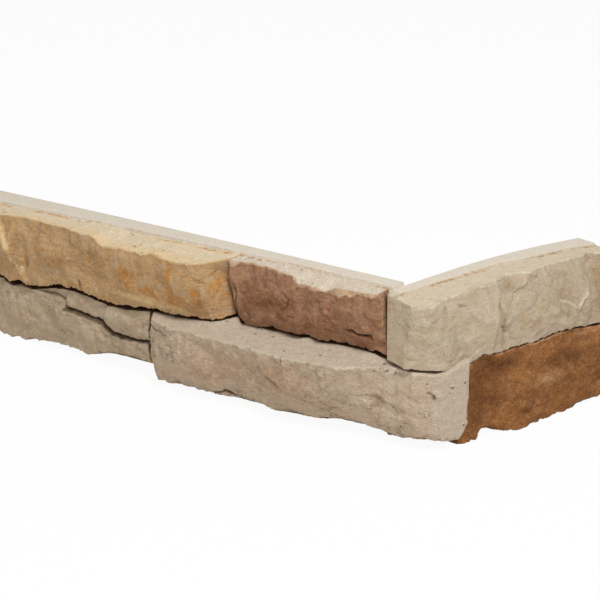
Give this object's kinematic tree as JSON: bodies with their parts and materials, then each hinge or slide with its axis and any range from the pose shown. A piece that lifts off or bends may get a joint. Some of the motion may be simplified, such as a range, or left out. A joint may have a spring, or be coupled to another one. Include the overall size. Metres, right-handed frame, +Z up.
{
  "type": "stone cladding corner piece",
  "caption": "L-shaped wall cladding corner cast in coloured concrete, with two courses of split-face stones that lap at the corner and flat backs to bond to the wall.",
  "frame": {"origin": "foot of the inner corner, where the two flat backs meet at the bottom", "axes": "+Z up, the long leg runs along -X with its back facing +Y, the short leg runs along +Y with its back facing -X"},
  "size_m": [0.5002, 0.2458, 0.102],
  "materials": {
    "cast_concrete": "rough split face, matt"
  },
  "bodies": {
    "root": {"corner_piece": "cast_concrete"}
  },
  "joints": []
}
